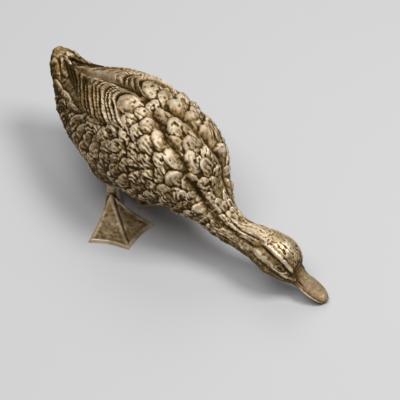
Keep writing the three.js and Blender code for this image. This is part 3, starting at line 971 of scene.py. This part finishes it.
@dataclass
class Wing:
    """A folded wing: stacked quills whose round ends step down towards the tail."""

    side: Side
    material: Material
    quills: int = 12
    growth: float = 1.045
    unevenness: float = 0.3
    shown_length: float = 0.99
    rings_each: int = 26
    lanes: int = 130
    under_lanes: int = 24
    gap: float = 0.3
    edge: float = 0.6
    camber: float = 1.3
    step: float = 1.3
    chord: float = 20.0
    bead: float = 0.10
    bead_pitch: float = 1.3
    roughness: float = 0.24

    def build(self) -> None:
        """Make the wing."""
        order = np.arange(self.quills)
        shown = self.uneven(order) * self.growth**order
        begins = self.shown_length * np.concatenate([[0.0], np.cumsum(shown) / shown.sum()])
        number = np.repeat(order, self.rings_each)
        share = np.tile((np.arange(self.rings_each) + 0.5) / self.rings_each, self.quills)
        along = begins[number] + (begins[number + 1] - begins[number]) * share
        along, lane = np.meshgrid(along, np.linspace(0.0, 1.0, self.lanes), indexing="ij")
        height = self.relief(along, lane, number[:, None] + 0 * lane, share[:, None] + 0 * lane)
        under_lane = np.linspace(1.0, 0.0, self.under_lanes)
        under = self.points(*np.meshgrid(along[:, 0], under_lane, indexing="ij"), self.gap)
        rings = np.concatenate([self.points(along, lane, height), under], axis=1)
        # Darker towards the tip and paler on the left wing's smooth stretch. Painted light along the upper
        # edge, over the cleft between the wings, which lies in shade.
        wear_and_painted_light = -0.9 - 0.8 * ease(0.15, 0.7, along) + 1.7 * self.leaf(along, lane)
        wear_and_painted_light += 1.6 * ease(0.8, 1.0, lane) * ease(0.35, 0.6, along)
        marks = {"barb": lane * self.chord, "wear_and_painted_light": wear_and_painted_light}
        for label, values in marks.items():
            marks[label] = np.concatenate([values, np.zeros(under.shape[:2])], axis=1).ravel()
        name = f"{self.side.name.lower()}_wing"
        finished_piece(f"{name}_quills", wrapped(rings), self.material, name, marks)

    def uneven(self, number: Array) -> Array:
        """How long and high quills are against the mean."""
        return 1.0 + self.unevenness * np.sin(2.3 * number + 0.9)

    def relief(self, along: Array, lane: Array, number: Array, share: Array) -> Array:
        """Height of the wing over the skin.

        Args:
            along: Share of the wing's length.
            lane: Share of the way from its lower edge to its upper.
            number: Which quill lies there.
            share: How far along the shown part of that quill.

        Returns:
            Heights in millimetres.
        """
        dome = np.sqrt(np.clip(1.0 - (2.0 * lane - 1.0) ** 2, 0.0, 1.0))
        arc = lane * self.chord
        waver = share + 0.2 * flat_grain(arc, 7.0 * number, 3.4, Seed.QUILL_EDGE)
        lift = self.step * (1.0 - np.abs(2.0 * np.clip(waver, 0.0, 1.0) - 1.0) ** 1.7) * self.uneven(number)
        beads = np.sin(arc * 2.0 * math.pi / self.bead_pitch + 1.7 * number) * bell(waver - 0.4, 0.3)
        rough = flat_grain(arc, 9.0 * number + 3.2 * share, 1.1, Seed.QUILL_GRAIN)
        lift = lift + self.bead * beads + self.roughness * rough
        lumps = flat_grain(arc, 60.0 * along, 3.4, Seed.WING_LUMPS)
        ruffled = bell(along - 0.52, 0.13) * ease(0.5, 0.68, lane)
        lift = lift * (1.0 - 0.75 * ruffled) + (0.8 + 1.0 * lumps) * ruffled
        leaf = self.leaf(along, lane)
        lift = lift * (1.0 - 0.75 * leaf) + (1.0 + 1.1 * lumps) * leaf
        full = self.edge + np.minimum(1.0, 1.8 * dome) * (self.camber * dome + lift)
        return self.gap + full * ease(-0.01, 0.03, along)

    def leaf(self, along: Array, lane: Array) -> Array:
        """1 on the soft stretch along the left wing's upper edge, 0 elsewhere."""
        stretch = ease(0.55, 0.68, lane) * ease(0.25, 0.34, along) * ease(0.86, 0.72, along)
        return stretch if self.side is Side.LEFT else 0.0 * stretch

    def points(self, along: Array, lane: Array, offset: Array | float) -> Array:
        """Points of the wing at heights over the skin, in millimetres."""
        x, steep = WING.locate(along, lane)
        return SKIN.point(SKIN.place_at_x(x), self.side.turned(steep), offset)


@dataclass
class Head:
    """Neck, head and bill in one casting.

    The lines of brow and cheek run along the duck, with degrees above its side. The line of the bill's base
    runs up its side by degrees, with distances along the duck.
    """

    material: Material
    rings: int = 400
    sides: int = 210
    closing: tuple[float, ...] = (0.7, 0.35, 0.04)
    girth: float = 8.5
    crown_pit: float = 0.24
    brow_line: Line = ((50.0, 55.0), (56.0, 48.0), (59.0, 47.0), (62.0, 48.0), (65.0, 50.0))
    brow: Ridge = Ridge(0.6, 0.9, 0.4)
    under_brow: Ridge = Ridge(-0.3, 0.7, -0.9)
    cheek_line: Line = ((50.0, 26.0), (54.7, 20.0), (58.0, 18.0), (62.0, 20.0), (66.0, 24.0))
    cheek: Ridge = Ridge(0.5, 1.1)
    under_cheek: Ridge = Ridge(-0.2, 0.7, -2.1)
    jowl: Ridge = Ridge(0.8, 3.0)
    eye_x: float = 60.5
    eye_steep: float = 29.0
    eye_length: float = 1.7
    eye_height: float = 0.95
    eye_slope: float = 25.0
    eyeball: float = 0.5
    socket: Ridge = Ridge(-0.45, 1.5)
    lid: Ridge = Ridge(0.3, 0.3, 1.5)
    pupil: Ridge = Ridge(-0.3, 0.5)
    base_line: Line = ((20.0, 67.6), (34.0, 68.1), (49.0, 67.4), (63.0, 65.5), (88.0, 63.6))
    base_step: float = 0.1
    base_groove: float = 1.2
    rim: Ridge = Ridge(0.75, 9.0, 4.0)
    gape: Ridge = Ridge(-0.4, 9.0, -20.0)
    inset_line: Line = ((66.5, 0.1), (70.0, 1.1), (75.0, 0.5), (78.0, 0.6), (81.0, 1.3))
    culmen: Ridge = Ridge(0.35, 26.0, 90.0)
    nostril: Ridge = Ridge(-0.9, 0.85)
    nail: Ridge = Ridge(0.3, 1.0)

    def __post_init__(self) -> None:
        """Lay the rings, and find how far they are past the feathers' edge and which are bare bill."""
        places = np.linspace(JOINT - JOINT_OVERLAP, SKIN.place("bill_end"), self.rings)
        self.grid = SkinGrid(places, np.arange(self.sides) * 360.0 / self.sides - 90.0)
        self.past_base = self.grid.x - line_at(self.base_line, self.grid.steep)
        self.bare = ease(-0.5, 0.5, self.past_base)

    def build(self, coat: Plumage) -> None:
        """Make the neck, head and bill.

        Args:
            coat: The plumage, whose breast feathers run on over the neck's root.
        """
        height, barb = GROUND.cover(self.grid, coat)
        height += self.crown() + self.face() + self.bill()
        height -= JOINT_SINK * ease(JOINT, JOINT - JOINT_FADE, self.grid.place)
        rings = self.grid.raised(height)
        tip = rings[-1].mean(axis=0)
        closing = np.stack([tip + (rings[-1] - tip) * share for share in self.closing])
        ends = np.zeros(len(closing) * self.sides)
        marks = {
            "barb": np.concatenate([barb, ends]),
            "copper": np.concatenate([self.bare.ravel(), ends + 1]),
            "wear_and_painted_light": np.concatenate([self.wear_and_painted_light().ravel(), ends]),
            "calm": np.concatenate([0.1 * self.bare.ravel(), ends]),
        }
        mesh = wrapped(np.concatenate([rings, closing]))
        finished_piece("neck_and_head", mesh, self.material, "neck_and_head_casting", marks)

    def wear_and_painted_light(self) -> Array:
        """How much paler or darker each place is: paler on the bill's rims, from rubbing and a painted
        highlight along the edges that catch light; darker in the eye, in the lores and at the bill's base,
        and less pale on the top of the head.

        Returns:
            Amounts around 0.
        """
        x, steep = self.grid.x, self.grid.steep
        rim = self.bare * bell(steep - self.rim.offset, self.rim.width)
        lores = bell(np.hypot(x - 66.3, np.radians(steep - 42.0) * self.girth), 1.5)
        on_top = ease(50.0, 70.0, steep) * ease(48.0, 54.0, x) * (1.0 - self.bare)
        wear_and_painted_light = 1.4 * rim - self.bare * ease(71.0, 67.0, x) - 2.2 * bell(self.past_base, 0.9)
        return wear_and_painted_light - 3.0 * bell(self.off_eye()[0], 0.6) - 1.2 * lores - 0.6 * on_top

    def crown(self) -> Array:
        """Height of the small pits on the crown, which end short of the bill.

        Returns:
            Heights in millimetres.
        """
        x, arc = self.grid.x, np.radians(self.grid.angle) * self.girth
        pits = ease(0.25, 0.6, flat_grain(x / 0.7, arc / 0.55, 1.0, Seed.CROWN_PITS))
        on_crown = ease(44.0, 52.0, x) * ease(42.0, 54.0, self.grid.steep)
        on_crown *= ease(0.0, 0.2, 1.0 - ease(-0.5, 0.5, self.past_base + 1.2))
        return -self.crown_pit * on_crown * pits

    def face(self) -> Array:
        """Height of the brow, the eye with its lids and the cheek.

        Returns:
            Heights in millimetres.
        """
        x, arc = self.grid.x, np.radians(self.grid.steep) * self.girth
        brow = arc - np.radians(line_at(self.brow_line, x)) * self.girth
        cheek = arc - np.radians(line_at(self.cheek_line, x)) * self.girth
        eye, across = self.off_eye()
        on_brow = ease(48.0, 54.0, x) * ease(66.0, 62.5, x)
        height = on_brow * (self.brow.at(brow) + self.under_brow.at(brow))
        on_cheek = ease(47.0, 51.0, x) * ease(67.5, 65.0, x)
        height += on_cheek * (self.cheek.at(cheek) + self.under_cheek.at(cheek))
        height += self.jowl.at(np.hypot(x - 52.0, arc - 2.6))
        height += self.socket.at(eye) + self.eyeball * np.sqrt(np.clip(1.0 - eye**2, 0.0, None))
        return height + self.lid.at(eye) * ease(0.6, -0.4, across) + self.pupil.at(eye)

    def off_eye(self) -> tuple[Array, Array]:
        """Distance from the middle of the slanting eye, whose edge is at 1.

        Returns:
            The distance, and how far above the eye's long axis.
        """
        slope = math.radians(self.eye_slope)
        ahead = self.grid.x - self.eye_x
        above = np.radians(self.grid.steep - self.eye_steep) * self.girth
        along = (ahead * math.cos(slope) + above * math.sin(slope)) / self.eye_length
        across = (above * math.cos(slope) - ahead * math.sin(slope)) / self.eye_height
        return np.hypot(along, across), across

    def bill(self) -> Array:
        """Height of the feathers' edge at the bill, its rims, the gape, the nostrils and the nail.

        Returns:
            Heights in millimetres.
        """
        x, steep, bare = self.grid.x, self.grid.steep, self.bare
        height = (1.0 - bare) * (self.base_step * ease(60.0, 65.0, x) - self.base_groove * bare)
        sides = self.rim.at(steep) * ease(68.0, 72.0, x) + self.gape.at(steep) * ease(81.0, 77.0, x)
        sides -= line_at(self.inset_line, x) * bell(steep, 40.0)
        height += bare * (sides + self.culmen.at(steep) * ease(78.0, 68.0, x))
        height += self.nostril.at(np.hypot((x - 70.0) / 1.5, (np.radians(steep) * 4.0 - 2.8) / 0.6))
        return height + self.nail.at(np.hypot((x - 80.0) / 1.8, (steep - 90.0) / 50.0))


@dataclass
class Leg:
    """A shank and a webbed foot."""

    side: Side
    material: Material
    ankle: Span
    thigh: Span
    toe_out: float
    outer_toe: float = 24.0
    middle_toe: float = 27.5
    inner_toe: float = 22.5
    spread: float = 40.0
    heel: float = 2.3
    heel_share: float = 0.04
    web: float = 1.3
    instep: float = 5.5
    sag: float = 1.2
    fan_width: float = 17.0
    fan_length: float = 26.0
    side_bead: Ridge = Ridge(0.5, 1.1, 0.9)
    front_bead: Ridge = Ridge(0.4, 0.8, 0.8)
    toe_ridge: Ridge = Ridge(0.35, 1.2)
    toe_slit: Ridge = Ridge(-0.6, 0.4, -1.1)
    rim_rounding: float = 0.9
    rim_share: float = 0.55
    # Painted highlight along the web's rim.
    rim_highlight: Ridge = Ridge(2.6, 0.8)
    shank_top: float = 13.5
    shank_radius: float = 2.35
    tendon_radius: float = 1.45
    tendon_off: float = 3.0
    ankle_swell: float = 0.8
    knee_swell: float = 1.1
    scale_depth: float = 0.05
    scale_count: float = 9.0
    voxel: float = 0.26
    rows: int = 60
    columns: int = 96

    def build(self) -> None:
        """Make the leg: a foot, a shank and a tendon on the shank's inner side, melted together."""
        mesh = bmesh.new()
        self.foot(mesh)
        self.rod(mesh, self.ankle, self.shank_radius)
        self.rod(mesh, tuple(self.toe_tip(self.tendon_off, -1.6 * self.spread)), self.tendon_radius)
        bmesh.ops.recalc_face_normals(mesh, faces=mesh.faces)
        name = f"{self.side.name.lower()}_leg"
        cast = self.melted(mesh)
        # Slightly paler all over, with a painted highlight along the web's rim.
        wear_and_painted_light = 0.1 + self.rim_highlight.at(self.off_rim(cast))
        marks = {"wear_and_painted_light": wear_and_painted_light, "calm": np.array([0.7]), "copper": np.array([0.45])}
        finished_piece(f"{name}_and_foot", cast, self.material, name, marks)

    def off_rim(self, cast: Mesh) -> Array:
        """Distance of each vertex from the web's edge.

        Args:
            cast: The leg in millimetres.

        Returns:
            Distances in millimetres.
        """
        steps = np.linspace(0.0, 1.0, 50)
        edge = [self.sole_point(1.0, 2.0 * step - 1.0) for step in steps]
        edge += [self.sole_point(0.4 + 0.6 * step, side) for step in steps for side in (-1.0, 1.0)]
        parts = np.array_split(np.array([vert.co for vert in cast.verts]), 40)
        near = [((part[:, None] - np.array(edge)) ** 2).sum(axis=2).min(axis=1) for part in parts]
        return np.sqrt(np.concatenate(near))

    def foot(self, mesh: Mesh) -> None:
        """Add the webbed foot: a fan of web between three toes, flat below.

        Args:
            mesh: Where it goes.
        """
        made = bmesh.ops.create_grid(mesh, x_segments=self.columns, y_segments=self.rows, size=1.0)
        fan = made["verts"]
        edges = {edge for vert in fan for edge in vert.link_edges}
        for vert in fan:
            vert.co = self.sole_point(0.5 * (vert.co.y + 1.0), vert.co.x)
        rim = [edge for edge in edges if edge.is_boundary]
        skirt = bmesh.ops.extrude_edge_only(mesh, edges=rim)["geom"]
        for vert in (item for item in skirt if isinstance(item, bmesh.types.BMVert)):
            vert.co.z = 0.0
        lower = [item for item in skirt if isinstance(item, bmesh.types.BMEdge) and item.is_boundary]
        bmesh.ops.holes_fill(mesh, edges=lower, sides=0)

    def toe_tip(self, length: float, spread: float) -> Array:
        """Place on the ground of a toe's end, by its length and degrees outward from the middle toe."""
        turned = math.radians(self.toe_out + spread) * self.side.value
        return np.array(self.ankle) + length * np.array([math.cos(turned), math.sin(turned)])

    def sole_point(self, out: float, fan: float) -> tuple[float, float, float]:
        """A point of the foot's top.

        Args:
            out: 0 at the heel, 1 at the web's front edge.
            fan: -1 along the inner toe, 0 along the middle one, 1 along the outer one.

        Returns:
            Its place.
        """
        share, ankle = abs(fan), np.array(self.ankle)
        middle = self.toe_tip(self.middle_toe, 0.0)
        outer, inner = (self.outer_toe, self.spread), (self.inner_toe, -self.spread)
        tip = self.toe_tip(*(outer if fan > 0 else inner))
        heel = ankle - self.heel * (middle - ankle) / self.middle_toe
        front = middle + (tip - middle) * share
        sag = self.sag * 4.0 * share * (1.0 - share)
        front = front - (front - ankle) / np.linalg.norm(front - ankle) * sag
        x, y = heel + (front - heel) * (self.heel_share + (1.0 - self.heel_share) * out)
        aside, ahead = out * self.fan_width, (1.0 - out) * self.fan_length
        beside = (1.0 - share) * aside
        height = self.web + self.instep * (1.0 - out) ** 2.4
        height += self.side_bead.at(beside) * (1.0 - 0.25 * out) + self.front_bead.at(ahead)
        height += self.toe_ridge.at(share * aside) + self.toe_slit.at(fan * aside) * (1.0 - 0.5 * out)
        height += (0.45 if fan > 0 else 0.15) * math.sin(math.pi * share) * math.sin(math.pi * out)
        for inside in (ahead, beside):
            height *= min(1.0, self.rim_share + inside / self.rim_rounding)
        height += 0.16 * flat_grain(x, y, 2.6, Seed.WEB) + 0.08 * flat_grain(x, y, 1.1, Seed.FINE_WEB)
        return (x, y, height)

    def rod(self, mesh: Mesh, foot: Span, thickness: float) -> None:
        """Add a round rod from the foot to the thigh.

        Args:
            mesh: Where it goes.
            foot: Its place on the ground.
            thickness: Its radius at its middle.
        """
        low, high = Vector((*foot, 0.3)), Vector((*self.thigh, self.shank_top))
        turn = (high - low).to_track_quat("Z", "Y").to_matrix().to_4x4()
        steps = 36
        loops = []
        for number in range(steps + 1):
            share = number / steps
            swell = self.ankle_swell if share < 0.5 else self.knee_swell
            scales = self.scale_depth * math.sin(share * self.scale_count * 2.0 * math.pi)
            radius = thickness + (2.0 * share - 1.0) ** 2 * swell + scales
            ends = number in (0, steps)
            ring = bmesh.ops.create_circle(mesh, cap_ends=ends, radius=radius, segments=24)["verts"]
            bmesh.ops.transform(mesh, matrix=Matrix.Translation(low.lerp(high, share)) @ turn, verts=ring)
            loops.append(list({edge for vert in ring for edge in vert.link_edges}))
        for first, second in zip(loops, loops[1:]):
            bmesh.ops.bridge_loops(mesh, edges=first + second)

    def melted(self, mesh: Mesh) -> Mesh:
        """Melt the overlapping shapes of a mesh into one cast skin with a flat sole.

        Args:
            mesh: Overlapping closed shapes in millimetres. It is freed.

        Returns:
            One closed shape.
        """
        data = bpy.data.meshes.new("leg_shapes")
        mesh.to_mesh(data)
        mesh.free()
        shapes = bpy.data.objects.new("leg_shapes", data)
        bpy.context.scene.collection.objects.link(shapes)
        melt = shapes.modifiers.new("melt", "REMESH")
        melt.mode = "VOXEL"
        melt.voxel_size = self.voxel
        soften = shapes.modifiers.new("soften", "SMOOTH")
        soften.factor = 0.5
        soften.iterations = 2
        graph = bpy.context.evaluated_depsgraph_get()
        cast_data = bpy.data.meshes.new_from_object(shapes.evaluated_get(graph))
        bpy.data.objects.remove(shapes)
        cast = bmesh.new()
        cast.from_mesh(cast_data)
        bpy.data.meshes.remove(cast_data)
        for vert in cast.verts:
            vert.co.z = max(vert.co.z, 0.02)
        return cast


@dataclass(frozen=True)
class Lamp:
    """A square lamp that faces the duck: its place and side in metres, and its watts."""

    name: str
    place: tuple[float, float, float]
    size: float
    power: float
    aim: tuple[float, float, float] = (0.0, 0.0, 0.03)

    def hang(self) -> None:
        """Hang the lamp."""
        data = bpy.data.lights.new(self.name, "AREA")
        data.size = self.size
        data.energy = self.power
        lamp = bpy.data.objects.new(self.name, data)
        lamp.location = self.place
        lamp.rotation_euler = (Vector(self.aim) - Vector(self.place)).to_track_quat("-Z", "Y").to_euler()
        bpy.context.scene.collection.objects.link(lamp)


@dataclass
class Studio:
    """Pale floor, soft lamps and the camera of the photograph."""

    floor_half: float = 2.0
    floor_colour: Colour = (0.66, 0.66, 0.67, 1.0)
    room_colour: Colour = (0.14, 0.14, 0.14, 1.0)
    lamps: tuple[Lamp, ...] = (
        Lamp("key", (0.30, 0.24, 0.80), 0.32, 4.0),
        Lamp("back", (-0.46, 0.44, 0.68), 0.50, 1.6),
        Lamp("fill", (0.02, -0.26, 0.88), 0.50, 2.9),
    )
    focal: float = 171.0
    sensor: float = 36.0
    elevation: float = 46.7
    heading: float = 43.2
    aside: float = -11.7
    above: float = -6.4
    distance: float = 831.0

    def build(self) -> None:
        """Set up the floor, the light and the camera."""
        self.floor()
        self.light()
        self.camera()

    def floor(self) -> None:
        """Lay the pale floor."""
        mesh = bmesh.new()
        bmesh.ops.create_grid(mesh, x_segments=2, y_segments=2, size=self.floor_half)
        data = bpy.data.meshes.new("floor")
        mesh.to_mesh(data)
        mesh.free()
        paint = {"Base Color": self.floor_colour, "Roughness": 0.75}
        data.materials.append(NodeChain("pale_floor").finish(paint))
        floor = bpy.data.objects.new("floor", data)
        bpy.context.scene.collection.objects.link(floor)

    def light(self) -> None:
        """Hang the lamps and set the even light of the room."""
        world = bpy.data.worlds.new("room")
        world.use_nodes = True
        room = world.node_tree.nodes["Background"]
        room.inputs["Color"].default_value = self.room_colour
        room.inputs["Strength"].default_value = 1.0
        bpy.context.scene.world = world
        for lamp in self.lamps:
            lamp.hang()

    def camera(self) -> None:
        """Set the camera at the photograph's angle."""
        high, turn = math.radians(self.elevation), math.radians(self.heading)
        right = np.array([math.sin(turn), math.cos(turn), 0.0])
        away = np.array([-math.cos(turn), math.sin(turn), 0.0])
        upward = np.array([0.0, 0.0, 1.0])
        up = away * math.sin(high) + upward * math.cos(high)
        view = away * math.cos(high) - upward * math.sin(high)
        eye = (-self.aside * right - self.above * up - self.distance * view + SHIFT) * MM
        data = bpy.data.cameras.new("camera")
        data.lens = self.focal
        data.sensor_width = self.sensor
        camera = bpy.data.objects.new("camera", data)
        axes = Matrix([list(column) for column in zip(right, up, -view)])
        camera.matrix_world = Matrix.Translation(Vector(eye)) @ axes.to_4x4()
        bpy.context.scene.collection.objects.link(camera)
        bpy.context.scene.camera = camera


def dress_fittings(material: Material) -> None:
    """Give the carried-over CAD fittings their finish.

    Args:
        material: Raw bronze.
    """
    for name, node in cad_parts.items():
        if name.endswith("_nut") or "plug" in name or name == "neck_cross_pin":
            node.data.materials.clear()
            node.data.materials.append(material)
            LOG.info("%s: carried over", name)


def main() -> None:
    """Build and dress the duck, light it and log its feather count and the pieces' face counts."""
    logging.basicConfig(level=logging.INFO, format="%(name)s %(message)s")
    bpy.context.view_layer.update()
    bpy.context.scene.view_settings.view_transform = "Standard"
    chased = Bronze("chased_bronze", barbs=0.45).material()
    raw = Bronze("raw_bronze", depth=0.1, stipple=0.1).material()
    body = Body(chased)
    coat = body.plumage()
    LOG.info("%d feathers", len(coat.feathers))
    body.build(coat)
    Head(chased).build(coat)
    for side in Side:
        Wing(side, chased).build()
    Leg(Side.RIGHT, chased, (-22.5, -16.0), RIGHT_THIGH, 26.0).build()
    Leg(Side.LEFT, chased, (-29.5, 5.6), LEFT_THIGH, -2.0).build()
    dress_fittings(raw)
    Studio().build()


if __name__ == "__main__":
    main()
